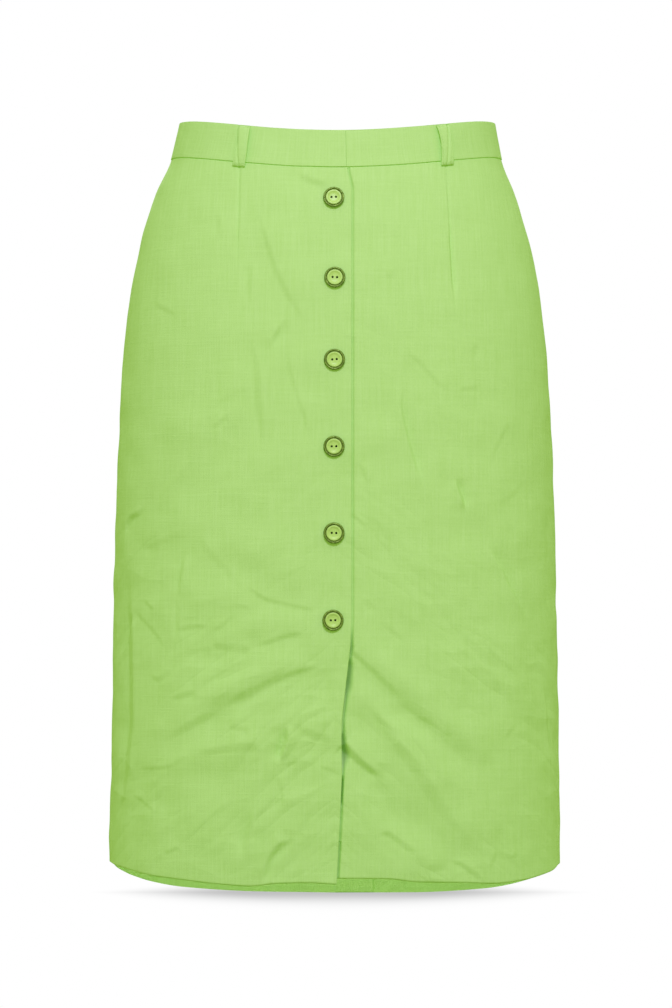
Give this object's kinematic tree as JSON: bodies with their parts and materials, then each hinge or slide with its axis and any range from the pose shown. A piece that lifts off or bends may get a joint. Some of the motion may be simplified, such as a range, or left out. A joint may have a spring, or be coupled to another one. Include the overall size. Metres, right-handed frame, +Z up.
{
  "type": "a-line skirt",
  "caption": "Knee-length a-line skirt, filled out as worn, with a waistband, belt loops, a buttoned centre-front opening and an open vent below the last button.",
  "frame": {"origin": "centre of the waist opening, level with the top of the waistband at the sides", "axes": "+Z up, the front faces -Y, the wearer's left side is +X"},
  "size_m": [0.3902, 0.2616, 0.6715],
  "materials": {
    "skirt_cloth": "matte lime-green linen-look plain weave with fine slubs both ways",
    "button_rim": "dark aged brass with olive speckles, satin",
    "button_face": "glossy lime-green resin, slightly pearly"
  },
  "bodies": {
    "root": {"front_right": "skirt_cloth", "front_left": "skirt_cloth", "back_left": "skirt_cloth", "back_right": "skirt_cloth", "back_vent_underlap": "skirt_cloth", "waistband": "skirt_cloth", "belt_loop_front_right": "skirt_cloth", "belt_loop_front_left": "skirt_cloth", "belt_loop_back_right": "skirt_cloth", "belt_loop_back_left": "skirt_cloth", "button_rim_1": "button_rim", "button_rim_2": "button_rim", "button_rim_3": "button_rim", "button_rim_4": "button_rim", "button_rim_5": "button_rim", "button_rim_6": "button_rim", "button_face_1": "button_face", "button_face_2": "button_face", "button_face_3": "button_face", "button_face_4": "button_face", "button_face_5": "button_face", "button_face_6": "button_face"}
  },
  "joints": []
}
